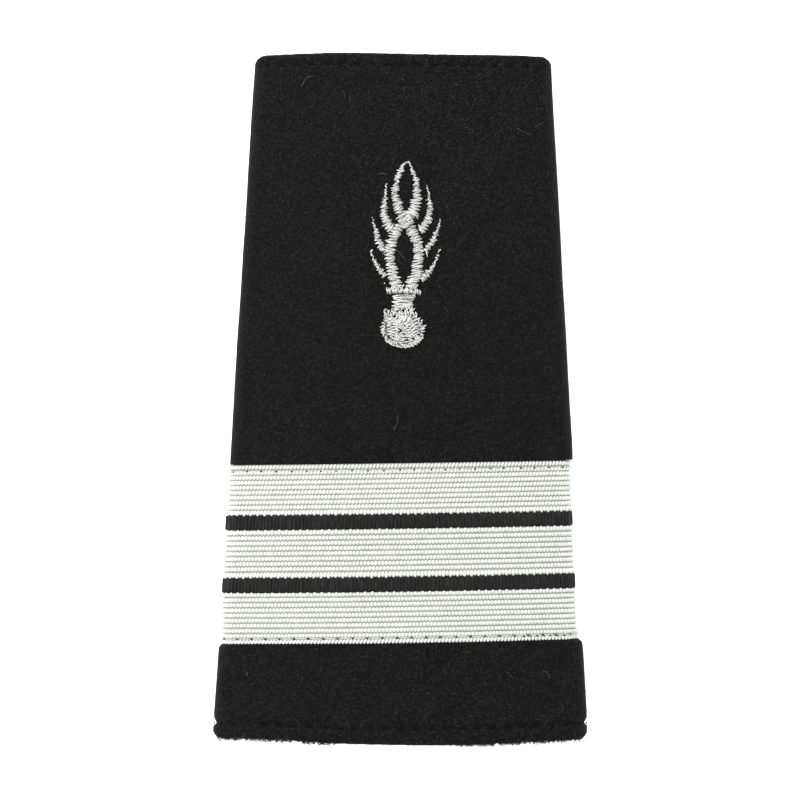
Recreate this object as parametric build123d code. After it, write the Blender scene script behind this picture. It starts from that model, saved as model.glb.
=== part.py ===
from build123d import *
from math import asin, cos, sin
import os

# Rank slide: a tapered tube of black felt that slips over a shoulder strap, with a woven ribbon of
# silver and black stripes round it and a flaming grenade embroidered on its front.
# It lies on its back with its front up (+Z) and its narrow neck end towards +Y. Lengths are in mm.

# Felt sleeve
sleeve_length = 102.2
neck_width = 44.0
hem_width = 56.1
neck_height = 8.6
hem_height = 9.2
fold_radius = 2.6
felt_wall = 1.5
hem_bulge = 0.35
hem_corner = 1.1
neck_corner = 1.3
sole_trim = 0.03

# Stitched grooves that run round both ends, and the butt seam down the back
hem_groove_inset = 2.45
neck_groove_inset = 1.85
groove_depth = 0.4
groove_half_width = 0.75
seam_width = 0.5
seam_depth = 0.5

# Woven ribbon: three silver braids over one black ground that shows between them
ribbon_above_hem = 15.1
ribbon_tilt = 1.04
outer_braid_width = 7.45
middle_braid_width = 7.05
black_stripe_width = 2.26
ground_thickness = 0.45
braid_thickness = 0.45
stripe_sink = 0.15

# The ribbon is sewn on tight, so the felt under it is pressed thin and its folds are drawn in
pressed_wall = 1.1
upper_pinch = 0.3
lower_pinch = 0.75
press_run = 3.5
press_margin = 1.2

# Flaming grenade, satin stitched over the front
motif_above_hem = 58.4
motif_aside = 0.17
motif_lean = -1.0
flame_relief = 0.6
ball_relief = 0.85
ball_width = 6.6
ball_height = 5.9
stem_width = 3.05
collar_width = 5.4
collar_height = 1.05
collar_up = 7.95
flame_height = 18.75
flame_base_width = 1.2

# Clearances between pieces, and how far cutting shapes run past what they cut
piece_gap = 0.04
overrun = 5.0

# The looped flame, as shares of flame_height: up from the collar, half of the width there
loop_rows = [
    (0.025, 0.098),
    (0.084, 0.138),
    (0.155, 0.142),
    (0.235, 0.148),
    (0.306, 0.158),
    (0.377, 0.147),
    (0.439, 0.123),
    (0.534, 0.071),
    (0.629, 0.099),
    (0.692, 0.112),
    (0.756, 0.118),
    (0.818, 0.102),
    (0.945, 0.050),
    (1.000, 0.000),
]

# Its two openings, in the same shares
lower_opening_rows = [
    (0.045, 0.000),
    (0.097, 0.036),
    (0.155, 0.055),
    (0.235, 0.070),
    (0.306, 0.074),
    (0.377, 0.052),
    (0.455, 0.000),
]
upper_opening_rows = [
    (0.597, 0.000),
    (0.645, 0.028),
    (0.692, 0.052),
    (0.756, 0.064),
    (0.818, 0.059),
    (0.882, 0.044),
    (0.959, 0.000),
]

# The side flames, in the same shares: where each starts, bends to and ends, across and up
flame_rows = {
    "flame_left_upper": ((-0.114, 0.448), (-0.216, 0.597), (-0.155, 0.808)),
    "flame_left_middle": ((-0.127, 0.300), (-0.237, 0.365), (-0.264, 0.566)),
    "flame_left_lower": ((-0.123, 0.084), (-0.238, 0.165), (-0.268, 0.292)),
    "flame_right_upper": ((0.107, 0.448), (0.225, 0.597), (0.161, 0.815)),
    "flame_right_middle": ((0.133, 0.285), (0.244, 0.375), (0.271, 0.550)),
    "flame_right_lower": ((0.123, 0.078), (0.240, 0.168), (0.264, 0.280)),
}
flame_steps = (0.0, 0.25, 0.5, 0.75, 0.9)
flame_taper = 0.6

# Places worked out from the sizes
hem_y = -sleeve_length / 2
neck_y = sleeve_length / 2
ribbon_thickness = ground_thickness + braid_thickness
ribbon_width = 2 * outer_braid_width + middle_braid_width + 2 * black_stripe_width
ribbon_low_y = hem_y + ribbon_above_hem
ribbon_high_y = ribbon_low_y + ribbon_width
crown_height = max(neck_height, hem_height)
flame_foot = collar_up + collar_height
wide = 2 * max(hem_width, neck_width)


def along(neck_size, hem_size, y):
    """A size at y that runs straight from its value at the hem to its value at the neck end."""
    return hem_size + (neck_size - hem_size) * (y - hem_y) / sleeve_length


def section(y, grow, pinch):
    """Face across the sleeve at y: flat back, two round folds and one shallow crown arc.

    grow moves the whole outline outwards and pinch draws both folds in. Its back lies sole_trim
    too low, where tube cuts it off level.
    """
    fold_x = along(neck_width, hem_width, y) / 2 - pinch - fold_radius
    fold_z = fold_radius - sole_trim
    rise = along(neck_height, hem_height, y) - fold_z
    crown_radius = (fold_x**2 + rise**2 - fold_radius**2) / (2 * (rise - fold_radius))
    lean = asin(fold_x / (crown_radius - fold_radius))
    bend = fold_radius + grow
    back = (fold_x, fold_z - bend)
    side = (fold_x + bend * cos(lean / 2), fold_z - bend * sin(lean / 2))
    shoulder = (fold_x + bend * sin(lean), fold_z + bend * cos(lean))
    top = (0, fold_z + rise + grow)
    back_left, side_left, shoulder_left = [(-x, z) for x, z in (back, side, shoulder)]
    outline = [
        Line(back_left, back),
        ThreePointArc(back, side, shoulder),
        ThreePointArc(shoulder, top, shoulder_left),
        ThreePointArc(shoulder_left, side_left, back_left),
    ]
    return Plane.XZ.offset(-y) * make_face(outline)


def tube(rows):
    """Solid through the sections of some rows of y, grow and pinch, level at the bottom."""
    above_floor = Box(wide, 2 * sleeve_length, wide, align=(Align.CENTER, Align.CENTER, Align.MIN))
    return loft([section(*row) for row in rows], ruled=True) & above_floor


def groove_rows(y):
    """Rows where a stitched groove dips into the felt and comes out again."""
    return [
        (y - groove_half_width, 0.0, 0.0),
        (y, -groove_depth, 0.0),
        (y + groove_half_width, 0.0, 0.0),
    ]


def ribbon_tube(sink):
    """Solid up to some depth below the ribbon's outer face, past both of its edges."""
    return tube(
        [
            (ribbon_low_y - press_margin, -sink, lower_pinch),
            (ribbon_high_y + press_margin, -sink, upper_pinch),
        ]
    )


def band(low, high):
    """Block round the sleeve between two distances up from the ribbon's lower edge."""
    block = Box(wide, high - low, wide, align=(Align.CENTER, Align.MIN, Align.CENTER))
    return Pos(0, ribbon_low_y, 0) * Rot(0, 0, ribbon_tilt) * Pos(0, low, 0) * block


def seam_slot(depth):
    """Block along the middle of the back, from below it up to a depth."""
    return Box(seam_width, 2 * sleeve_length, 2 * depth)


def end_cuts():
    """Block with the sleeve's outline from above, which cuts both ends with rounded corners."""
    neck_half = neck_width / 2 + piece_gap
    hem_half = hem_width / 2 + piece_gap
    side_y = hem_y + hem_bulge
    outline = make_face(
        [
            ThreePointArc((-hem_half, side_y), (0, hem_y), (hem_half, side_y)),
            Line((hem_half, side_y), (neck_half, neck_y)),
            Line((neck_half, neck_y), (-neck_half, neck_y)),
            Line((-neck_half, neck_y), (-hem_half, side_y)),
        ]
    )
    by_height = outline.vertices().sort_by(Axis.Y)
    outline = fillet(by_height[:2], hem_corner)
    outline = fillet(outline.vertices().sort_by(Axis.Y)[-2:], neck_corner)
    return extrude(outline, amount=wide, both=True)


def felt_sleeve():
    """Felt tube with a bed for the ribbon, grooves round both ends and a seam in its back."""
    start = hem_y - overrun
    end = neck_y + overrun
    outside = tube(
        [(start, 0.0, 0.0)]
        + groove_rows(hem_y + hem_groove_inset)
        + groove_rows(neck_y - neck_groove_inset)
        + [(end, 0.0, 0.0)]
    )
    bed_depth = ribbon_thickness + piece_gap
    bed_band = band(-piece_gap, ribbon_width + piece_gap)
    outside = (outside - bed_band) + (ribbon_tube(bed_depth) & bed_band)
    low = ribbon_low_y - press_margin
    high = ribbon_high_y + press_margin
    inside = tube(
        [
            (start, -felt_wall, 0.0),
            (low - press_run, -felt_wall, 0.0),
            (low, -bed_depth - pressed_wall, lower_pinch),
            (high, -bed_depth - pressed_wall, upper_pinch),
            (high + press_run, -felt_wall, 0.0),
            (end, -felt_wall, 0.0),
        ]
    )
    return (outside - inside - seam_slot(seam_depth)) & end_cuts()


def stripe_starts():
    """Distances up the ribbon at which its two black stripes start."""
    return [outer_braid_width, outer_braid_width + black_stripe_width + middle_braid_width]


def ribbon():
    """Black ground of the ribbon, whose two stripes stand up between the braids."""
    ground = ribbon_tube(braid_thickness) & band(0, ribbon_width)
    for start in stripe_starts():
        ground += ribbon_tube(stripe_sink) & band(start, start + black_stripe_width)
    return ground - ribbon_tube(ribbon_thickness) - seam_slot(crown_height / 2)


def braid(start, width):
    """One silver braid, from a distance up the ribbon."""
    skin = ribbon_tube(0.0) - ribbon_tube(braid_thickness - piece_gap)
    return (skin & band(start + piece_gap, start + width - piece_gap)) - seam_slot(crown_height / 2)


def stitched(outline, relief):
    """Solid of an embroidered outline, which follows the sleeve's crown and stands up by its relief."""
    rows = [ribbon_high_y + press_margin, neck_y - neck_groove_inset - groove_half_width]
    skin = tube([(y, relief, 0.0) for y in rows]) - tube([(y, piece_gap, 0.0) for y in rows])
    place = Pos(motif_aside, hem_y + motif_above_hem, fold_radius) * Rot(0, 0, motif_lean)
    return skin & extrude(place * outline, amount=crown_height, dir=(0, 0, 1))


def even_face(rows, grow=0.0):
    """Face that is alike on both sides, from rows of height and half width in shares."""
    right = [(half * flame_height + grow, flame_foot + up * flame_height) for up, half in rows]
    left = [(-x, y) for x, y in right]
    lines = [Spline(*right), Spline(*left)]
    for end in (0, -1):
        if right[end] != left[end]:
            lines.append(Line(left[end], right[end]))
    return make_face(lines)


def side_flame(start, bend, end):
    """Face of a flame that starts wide, bends and runs out to a point."""
    foot = Vector(0, flame_foot)
    start, bend, end = [foot + Vector(*place) * flame_height for place in (start, bend, end)]
    left = []
    right = []
    for step in flame_steps:
        rest = 1 - step
        centre = start * rest**2 + bend * (2 * rest * step) + end * step**2
        run = ((bend - start) * rest + (end - bend) * step).normalized()
        across = Vector(-run.Y, run.X) * (flame_base_width / 2 * rest**flame_taper)
        left.append(centre + across)
        right.append(centre - across)
    return make_face([Spline(*left, end), Spline(*right, end), Line(left[0], right[0])])


def grenade_outlines():
    """Faces of the embroidery, by the name of the piece."""
    ball_place = Pos(0, ball_height / 2)
    ball = ball_place * Ellipse(ball_width / 2, ball_height / 2)
    round_ball = ball_place * Ellipse(ball_width / 2 + piece_gap, ball_height / 2 + piece_gap)
    upright = (Align.CENTER, Align.MIN)
    stem_height = collar_up - piece_gap - ball_height / 2
    stem = ball_place * Rectangle(stem_width, stem_height, align=upright)
    collar = Pos(0, collar_up) * Rectangle(collar_width, collar_height, align=upright)
    loop = even_face(loop_rows) - even_face(lower_opening_rows) - even_face(upper_opening_rows)
    outlines = {
        "grenade_ball": ball,
        "grenade_neck": stem - round_ball,
        "grenade_collar": collar,
        "flame_centre": loop,
    }
    round_loop = even_face(loop_rows, piece_gap)
    for name, places in flame_rows.items():
        outlines[name] = side_flame(*places) - round_loop
    return outlines


def all_pieces():
    """Every piece of the slide, by the name of its file."""
    starts = stripe_starts()
    pieces = {
        "felt_sleeve": felt_sleeve(),
        "ribbon": ribbon(),
        "silver_braid_lower": braid(0.0, outer_braid_width),
        "silver_braid_middle": braid(starts[0] + black_stripe_width, middle_braid_width),
        "silver_braid_upper": braid(starts[1] + black_stripe_width, outer_braid_width),
    }
    for name, outline in grenade_outlines().items():
        relief = ball_relief if name == "grenade_ball" else flame_relief
        pieces[name] = stitched(outline, relief)
    return pieces


os.makedirs("parts", exist_ok=True)
for piece_name, piece in all_pieces().items():
    export_step(piece, f"parts/{piece_name}.step")
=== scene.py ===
import math

import bmesh
import bpy
import numpy as np
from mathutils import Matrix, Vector, noise


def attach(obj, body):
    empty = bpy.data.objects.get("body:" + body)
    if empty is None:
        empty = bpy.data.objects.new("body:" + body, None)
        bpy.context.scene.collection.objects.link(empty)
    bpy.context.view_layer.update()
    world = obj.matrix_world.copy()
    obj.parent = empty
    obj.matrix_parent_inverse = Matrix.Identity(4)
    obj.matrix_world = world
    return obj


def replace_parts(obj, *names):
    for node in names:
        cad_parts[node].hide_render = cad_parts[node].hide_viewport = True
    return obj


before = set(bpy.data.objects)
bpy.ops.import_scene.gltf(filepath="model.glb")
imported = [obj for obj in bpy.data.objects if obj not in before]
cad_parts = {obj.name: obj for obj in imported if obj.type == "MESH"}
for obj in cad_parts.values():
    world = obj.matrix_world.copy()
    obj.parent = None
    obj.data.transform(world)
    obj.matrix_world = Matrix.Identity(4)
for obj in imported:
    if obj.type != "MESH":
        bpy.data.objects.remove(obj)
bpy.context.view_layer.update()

# Rank slide: a black felt sleeve with a silver and black ribbon and an embroidered grenade.
# Sizes are in millimetres and become metres only when a mesh is made.
metre = 0.001
rng = np.random.default_rng(11)


sleeve = {
    "length": 102.2,
    "neckWidth": 44.0,
    "hemWidth": 56.1,
    "neckHeight": 8.6,
    "hemHeight": 9.2,
    "foldRadius": 2.6,
    "soleTrim": 0.03,
    "levelDepth": 0.6,  # what lies deeper in the wall than this isn't pressed level
    "wall": 1.5,
    "hemCorner": 1.1,
    "neckCorner": 1.05,
}
band = {
    "aboveHem": 15.1,
    "tilt": math.radians(1.04),
    "outerBraid": 7.45,
    "middleBraid": 7.05,
    "blackStripe": 2.26,
    "rightPinch": (0.8, 0.42),  # how far it draws in the right fold, at its lower and upper edge
    "leftPinch": (0.48, 0.0),
    "leftPinchY": (-36.0, -28.6),
    "meanPinch": 0.45,
    "weavePitch": 0.5296,
}
hemY = -sleeve["length"] / 2
neckY = sleeve["length"] / 2
bandLowY = hemY + band["aboveHem"]
bandWidth = 2 * band["outerBraid"] + band["middleBraid"] + 2 * band["blackStripe"]
bandHighY = bandLowY + bandWidth
bandMiddleY = (bandLowY + bandHighY) / 2


def sectionAt(y, pinch=0.0):
    share = (y - hemY) / sleeve["length"]
    width = sleeve["hemWidth"] + (sleeve["neckWidth"] - sleeve["hemWidth"]) * share
    height = sleeve["hemHeight"] + (sleeve["neckHeight"] - sleeve["hemHeight"]) * share
    radius = sleeve["foldRadius"]
    foldX = width / 2 - pinch - radius
    foldZ = radius - sleeve["soleTrim"]
    rise = height - foldZ
    crownR = (foldX**2 + rise**2 - radius**2) / (2 * (rise - radius))
    lean = np.arcsin(foldX / (crownR - radius))
    return foldX, foldZ, rise, crownR, lean


def girth(y, pinch=0.0):
    foldX, _, _, crownR, lean = sectionAt(y, pinch)
    return 2 * (foldX + sleeve["foldRadius"] * (math.pi - lean) + crownR * lean)


# share 0 is the middle of the back, 0.25 near the right fold, 0.5 the middle of the front
def aroundSleeve(share, y, grow=0.0, pinch=0.0):
    share, y, grow, pinch = np.broadcast_arrays(share, y, grow, pinch)
    foldX, foldZ, rise, crownR, lean = sectionAt(y, pinch)
    radius = sleeve["foldRadius"]
    share = share % 1.0
    side = np.where(share <= 0.5, 1.0, -1.0)
    half = foldX + radius * (math.pi - lean) + crownR * lean
    run = np.where(share <= 0.5, share, 1 - share) * 2 * half
    turn = np.clip((run - foldX) / radius, 0, math.pi - lean)
    arc = np.clip(lean - (run - foldX - radius * (math.pi - lean)) / crownR, 0, lean)
    onBack = run < foldX
    onCrown = run > foldX + radius * (math.pi - lean)
    normalX = np.where(onBack, 0.0, np.where(onCrown, np.sin(arc), np.sin(turn)))
    normalZ = np.where(onBack, -1.0, np.where(onCrown, np.cos(arc), -np.cos(turn)))
    baseX = np.where(onBack, run, np.where(onCrown, 0.0, foldX))
    baseZ = np.where(onCrown, foldZ + rise - crownR, foldZ)
    reach = np.where(onCrown, crownR, radius) + grow
    x = side * (baseX + reach * normalX)
    z = baseZ + reach * normalZ
    z = np.where(grow > -sleeve["levelDepth"], np.maximum(z, 0.0), z)
    point = np.stack([x, y, z], axis=-1)
    normal = np.stack([side * normalX, np.zeros_like(x), normalZ], axis=-1)
    return point, normal


# the way round the sleeve at places with these normals
def roundSleeve(normal):
    return np.cross((0.0, 1.0, 0.0), normal)


def bandPinch(share, y):
    right = np.interp(y, [bandLowY, bandHighY], band["rightPinch"])
    left = np.interp(y, band["leftPinchY"], band["leftPinch"])
    return np.where(np.asarray(share) % 1.0 <= 0.5, right, left)


# up is the distance from the ribbon's lower edge, which slants a little
def onBand(share, up, grow=0.0):
    slant, level = math.tan(band["tilt"]), 1 / math.cos(band["tilt"])
    y = bandLowY + up * level
    for _ in range(3):
        point, normal = aroundSleeve(share, y, grow, bandPinch(share, y))
        y = bandLowY + up * level + point[..., 0] * slant
    return aroundSleeve(share, y, grow, bandPinch(share, y))


def bandGirth(up):
    return girth(bandLowY + up, band["meanPinch"])


# share round the sleeve of a place on the ribbon's front, from its x
def frontShare(x, up):
    crownR = sectionAt(bandLowY + up, band["meanPinch"])[3]
    return 0.5 - np.arcsin(x / crownR) * crownR / bandGirth(up)


def crownZ(x, y):
    _, foldZ, rise, crownR, _ = sectionAt(y)
    return foldZ + rise - crownR + np.sqrt(crownR**2 - np.asarray(x) ** 2)


def hexColour(text):
    parts = [int(text[i:i + 2], 16) / 255 for i in (1, 3, 5)]
    linear = [c / 12.92 if c <= 0.04045 else ((c + 0.055) / 1.055) ** 2.4 for c in parts]
    return (*linear, 1.0)


# adds a node; a node given to one of its sockets stands for that node's first output
def put(tree, kind, sockets=None, stops=None, **settings):
    node = tree.nodes.new(kind)
    for key, value in settings.items():
        setattr(node, key, value)
    for key, value in (sockets or {}).items():
        if isinstance(value, bpy.types.Node):
            value = value.outputs[0]
        if isinstance(value, bpy.types.NodeSocket):
            tree.links.new(value, node.inputs[key])
        else:
            node.inputs[key].default_value = value
    if stops:
        ramp = node.color_ramp
        ramp.elements.remove(ramp.elements[1])
        ramp.elements[0].position = stops[0][0]
        ramp.elements[0].color = hexColour(stops[0][1])
        for place, shade in stops[1:]:
            ramp.elements.new(place).color = hexColour(shade)
    return node


def meshFrom(name, points, faces, edges=()):
    mesh = bpy.data.meshes.new(name)
    mesh.from_pydata((np.asarray(points) * metre).tolist(), list(edges), faces)
    mesh.update()
    return mesh


def newPiece(name, mesh, material=None):
    piece = bpy.data.objects.new(name, mesh)
    bpy.context.scene.collection.objects.link(piece)
    if material:
        mesh.materials.append(material)
    if len(mesh.polygons):
        mesh.shade_smooth()
    return piece


# every piece is fixed to the one body
def settle(piece):
    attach(piece, "root")
    return piece


def faceOutward(mesh):
    work = bmesh.new()
    work.from_mesh(mesh)
    bmesh.ops.recalc_face_normals(work, faces=work.faces)
    work.to_mesh(mesh)
    work.free()


# rows of points that close round both ways, like the skin of a thick tube
def tubeMesh(name, points):
    rows, columns = points.shape[:2]
    index = np.arange(rows * columns).reshape(rows, columns)
    nextRow, nextColumn = np.roll(index, -1, 0), np.roll(index, -1, 1)
    corner = np.roll(nextRow, -1, 1)
    faces = np.stack([index, nextColumn, corner, nextRow], axis=-1).reshape(-1, 4)
    mesh = meshFrom(name, points.reshape(-1, 3), faces.tolist())
    faceOutward(mesh)
    return mesh


# rings of points, closed by a flat face at both ends
def ringMesh(name, rings):
    count, last = len(rings[0]), (len(rings) - 1) * len(rings[0])
    faces = []
    for first in range(0, last, count):
        for k in range(count):
            a, b = first + k, first + (k + 1) % count
            faces.append((a, b, b + count, a + count))
    faces += [tuple(reversed(range(count))), tuple(range(last, last + count))]
    mesh = meshFrom(name, np.concatenate(rings), faces)
    faceOutward(mesh)
    return mesh


def attribute(mesh, name, values, kind="FLOAT_VECTOR"):
    layer = mesh.attributes.new(name, kind, "POINT")
    key = "vector" if kind == "FLOAT_VECTOR" else "value"
    layer.data.foreach_set(key, np.asarray(values, dtype=np.float32).ravel())


# the pillow tree's guide, from groups of places with their out and up directions and their sizes
def pillowGuide(groups):
    rows = [[np.broadcast_to(values, group[0].shape) for values in group] for group in groups]
    spots, outward, upward, sizes = [np.concatenate(values) for values in zip(*rows)]
    mesh = meshFrom("pillow guide", spots, [])
    attribute(mesh, "outward", outward)
    attribute(mesh, "upward", upward)
    attribute(mesh, "size", sizes * metre)
    return mesh


# runs a node tree on a guide mesh and keeps only the plain mesh that it makes
def growPiece(name, guide, tree, inputs):
    helper = newPiece(name + "_guide", guide)
    modifier = helper.modifiers.new("grow", "NODES")
    modifier.node_group = tree
    sockets = {s.name: s.identifier for s in tree.interface.items_tree if s.in_out == "INPUT"}
    for key, value in inputs.items():
        modifier[sockets[key]] = value
    graph = bpy.context.evaluated_depsgraph_get()
    mesh = bpy.data.meshes.new_from_object(helper.evaluated_get(graph), depsgraph=graph)
    mesh.name = name
    bpy.data.objects.remove(helper)
    print(name, len(mesh.polygons), "faces")
    return settle(newPiece(name, mesh))


# a tree's inputs are numbers, named here with their defaults, and a material
def startTree(name, inputs):
    tree = bpy.data.node_groups.new(name, "GeometryNodeTree")
    sockets = tree.interface
    sockets.new_socket("Geometry", in_out="INPUT", socket_type="NodeSocketGeometry")
    for label, value in inputs.items():
        kind = "NodeSocketInt" if isinstance(value, int) else "NodeSocketFloat"
        sockets.new_socket(label, in_out="INPUT", socket_type=kind).default_value = value
    sockets.new_socket("Material", in_out="INPUT", socket_type="NodeSocketMaterial")
    sockets.new_socket("Geometry", in_out="OUTPUT", socket_type="NodeSocketGeometry")
    return tree, put(tree, "NodeGroupInput").outputs


def endTree(tree, geometry, material):
    real = put(tree, "GeometryNodeRealizeInstances", {"Geometry": geometry})
    smooth = put(tree, "GeometryNodeSetShadeSmooth", {"Geometry": real})
    finish = put(tree, "GeometryNodeSetMaterial", {"Geometry": smooth, "Material": material})
    put(tree, "NodeGroupOutput", {"Geometry": finish})


# the least and the most of a value that varies by a reach to either side
def leastMost(tree, middle, reach):
    return [put(tree, "ShaderNodeMath", {0: middle, 1: reach}, operation=way) for way in ("SUBTRACT", "ADD")]


# a noise's scale, from the size of its spots
def perMetre(size):
    return 1 / (size * metre)


# little pillows set on points, each with its own out and up direction, size and a small random turn
def pillowTree():
    tree, given = startTree("pillows", {"Sides": 8, "Rings": 4, "Turn": 0.1, "Size spread": 0.06, "Seed": 1})
    ball = put(tree, "GeometryNodeMeshUVSphere",
               {"Segments": given["Sides"], "Rings": given["Rings"], "Radius": 0.5})
    outward, upward, size = [
        put(tree, "GeometryNodeInputNamedAttribute", {"Name": name}, data_type="FLOAT_VECTOR")
        for name in ("outward", "upward", "size")]
    facing = put(tree, "FunctionNodeAxesToRotation", {0: outward, 1: upward},
                 primary_axis="Z", secondary_axis="Y")
    least = put(tree, "ShaderNodeMath", {0: given["Turn"], 1: -1.0}, operation="MULTIPLY")
    turn = put(tree, "FunctionNodeRandomValue", {0: least, 1: given["Turn"], "Seed": given["Seed"]},
               data_type="FLOAT_VECTOR")
    turned = put(tree, "FunctionNodeRotateRotation", {"Rotation": facing, "Rotate By": turn},
                 rotation_space="LOCAL")
    small, large = leastMost(tree, 1.0, given["Size spread"])
    spread = put(tree, "FunctionNodeRandomValue", {0: small, 1: large, "Seed": given["Seed"]},
                 data_type="FLOAT_VECTOR")
    scale = put(tree, "ShaderNodeVectorMath", {0: size, 1: spread}, operation="MULTIPLY")
    cloud = put(tree, "GeometryNodeInstanceOnPoints",
                {"Points": given["Geometry"], "Instance": ball, "Rotation": turned, "Scale": scale})
    endTree(tree, cloud, given["Material"])
    return tree


# twisted thread along every line of the guide
def threadTree():
    tree, given = startTree("threads", {
        "Step": 0.0001, "Width": 0.0002, "Flatness": 0.6, "Twist length": 0.001, "Sides": 6})
    lines = put(tree, "GeometryNodeMeshToCurve", {"Mesh": given["Geometry"]})
    even = put(tree, "GeometryNodeResampleCurve", {"Curve": lines, "Length": given["Step"]}, mode="LENGTH")
    run = put(tree, "GeometryNodeSplineParameter").outputs["Length"]
    turns = put(tree, "ShaderNodeMath", {0: run, 1: given["Twist length"]}, operation="DIVIDE")
    angle = put(tree, "ShaderNodeMath", {0: turns, 1: 2 * math.pi}, operation="MULTIPLY")
    where = put(tree, "GeometryNodeInputPosition")
    # the twist starts at its own angle on each thread, by a drift over 0.6 mm
    drift = put(tree, "ShaderNodeTexNoise", {"Vector": where, "Scale": perMetre(0.625), "Detail": 0.0},
                noise_dimensions="3D")
    phase = put(tree, "ShaderNodeMath", {0: drift, 1: 14.0, 2: angle}, operation="MULTIPLY_ADD")
    tilted = put(tree, "GeometryNodeSetCurveTilt", {"Curve": even, "Tilt": phase})
    ring = put(tree, "GeometryNodeCurvePrimitiveCircle", {"Resolution": given["Sides"], "Radius": 0.5},
               mode="RADIUS")
    thickness = put(tree, "ShaderNodeMath", {0: given["Width"], 1: given["Flatness"]}, operation="MULTIPLY")
    shape = put(tree, "ShaderNodeCombineXYZ", {"X": given["Width"], "Y": thickness, "Z": 1.0})
    profile = put(tree, "GeometryNodeTransform", {"Geometry": ring, "Scale": shape})
    tubes = put(tree, "GeometryNodeCurveToMesh",
                {"Curve": tilted, "Profile Curve": profile, "Fill Caps": True})
    endTree(tree, tubes, given["Material"])
    return tree


# loose fibres that lie on a surface, each rooted in it and bent by noise
def fibreTree():
    tree, given = startTree("fibres", {
        "Density": 1.0e6, "Length": 0.001, "Length spread": 0.5, "Lift": 0.1, "Rise": 0.02, "Lay": 0.0,
        "Lay spread": 1.6, "Radius": 0.00002, "Points": 4, "Curl": 0.0003, "Curl size": 0.001, "Seed": 1})
    amount = put(tree, "GeometryNodeInputNamedAttribute", {"Name": "fuzz"}, data_type="FLOAT")
    density = put(tree, "ShaderNodeMath", {0: amount, 1: given["Density"]}, operation="MULTIPLY")
    roots = put(tree, "GeometryNodeDistributePointsOnFaces",
                {"Mesh": given["Geometry"], "Density": density, "Seed": given["Seed"]},
                distribute_method="RANDOM")
    high = put(tree, "ShaderNodeCombineXYZ", {"X": 0.5, "Z": given["Lift"]})
    tip = put(tree, "ShaderNodeCombineXYZ", {"X": 1.0, "Z": given["Rise"]})
    fibre = put(tree, "GeometryNodeCurveQuadraticBezier",
                {"Resolution": given["Points"], "Start": (0, 0, -0.03), "Middle": high, "End": tip})
    leftmost, rightmost = leastMost(tree, given["Lay"], given["Lay spread"])
    angle = put(tree, "FunctionNodeRandomValue", {2: leftmost, 3: rightmost, "Seed": given["Seed"]},
                data_type="FLOAT")
    spin = put(tree, "ShaderNodeCombineXYZ", {"Z": angle.outputs[1]})
    facing = put(tree, "FunctionNodeRotateRotation",
                 {"Rotation": roots.outputs["Rotation"], "Rotate By": spin}, rotation_space="LOCAL")
    short, long = leastMost(tree, 1.0, given["Length spread"])
    ratio = put(tree, "FunctionNodeRandomValue", {2: short, 3: long, "Seed": given["Seed"]},
                data_type="FLOAT")
    length = put(tree, "ShaderNodeMath", {0: ratio.outputs[1], 1: given["Length"]}, operation="MULTIPLY")
    cloud = put(tree, "GeometryNodeInstanceOnPoints",
                {"Points": roots, "Instance": fibre, "Rotation": facing, "Scale": length})
    real = put(tree, "GeometryNodeRealizeInstances", {"Geometry": cloud})
    where = put(tree, "GeometryNodeInputPosition")
    scale = put(tree, "ShaderNodeMath", {0: 1.0, 1: given["Curl size"]}, operation="DIVIDE")
    field = put(tree, "ShaderNodeTexNoise", {"Vector": where, "Scale": scale, "Detail": 1.0},
                noise_dimensions="3D")
    centred = put(tree, "ShaderNodeVectorMath", {0: field.outputs["Color"], 1: (0.5, 0.5, 0.5)},
                  operation="SUBTRACT")
    along = put(tree, "GeometryNodeSplineParameter").outputs["Factor"]
    strength = put(tree, "ShaderNodeMath", {0: along, 1: given["Curl"]}, operation="MULTIPLY")
    push = put(tree, "ShaderNodeVectorMath", {0: centred, "Scale": strength}, operation="SCALE")
    bent = put(tree, "GeometryNodeSetPosition", {"Geometry": real, "Offset": push})
    ring = put(tree, "GeometryNodeCurvePrimitiveCircle", {"Resolution": 3, "Radius": given["Radius"]},
               mode="RADIUS")
    tubes = put(tree, "GeometryNodeCurveToMesh", {"Curve": bent, "Profile Curve": ring, "Fill Caps": True})
    endTree(tree, tubes, given["Material"])
    return tree


pillows = pillowTree()
threads = threadTree()
fibres = fibreTree()


def startMaterial(name):
    material = bpy.data.materials.new(name)
    material.use_nodes = True
    tree = material.node_tree
    tree.nodes.clear()
    return material, tree


def endMaterial(tree, sockets):
    shader = put(tree, "ShaderNodeBsdfPrincipled", sockets)
    put(tree, "ShaderNodeOutputMaterial", {"Surface": shader})


# shades that drift from spot to spot
def mottle(tree, where, scale, detail, stops, roughness=0.5):
    cloud = put(tree, "ShaderNodeTexNoise",
                {"Vector": where, "Scale": scale, "Detail": detail, "Roughness": roughness})
    return put(tree, "ShaderNodeValToRGB", {"Fac": cloud}, stops=stops)


# fine relief, with the size of its grains and its depth
def grain(tree, where, size, detail, strength, depth):
    fine = put(tree, "ShaderNodeTexNoise", {"Vector": where, "Scale": perMetre(size), "Detail": detail})
    return put(tree, "ShaderNodeBump", {"Height": fine, "Strength": strength, "Distance": depth * metre})


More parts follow.
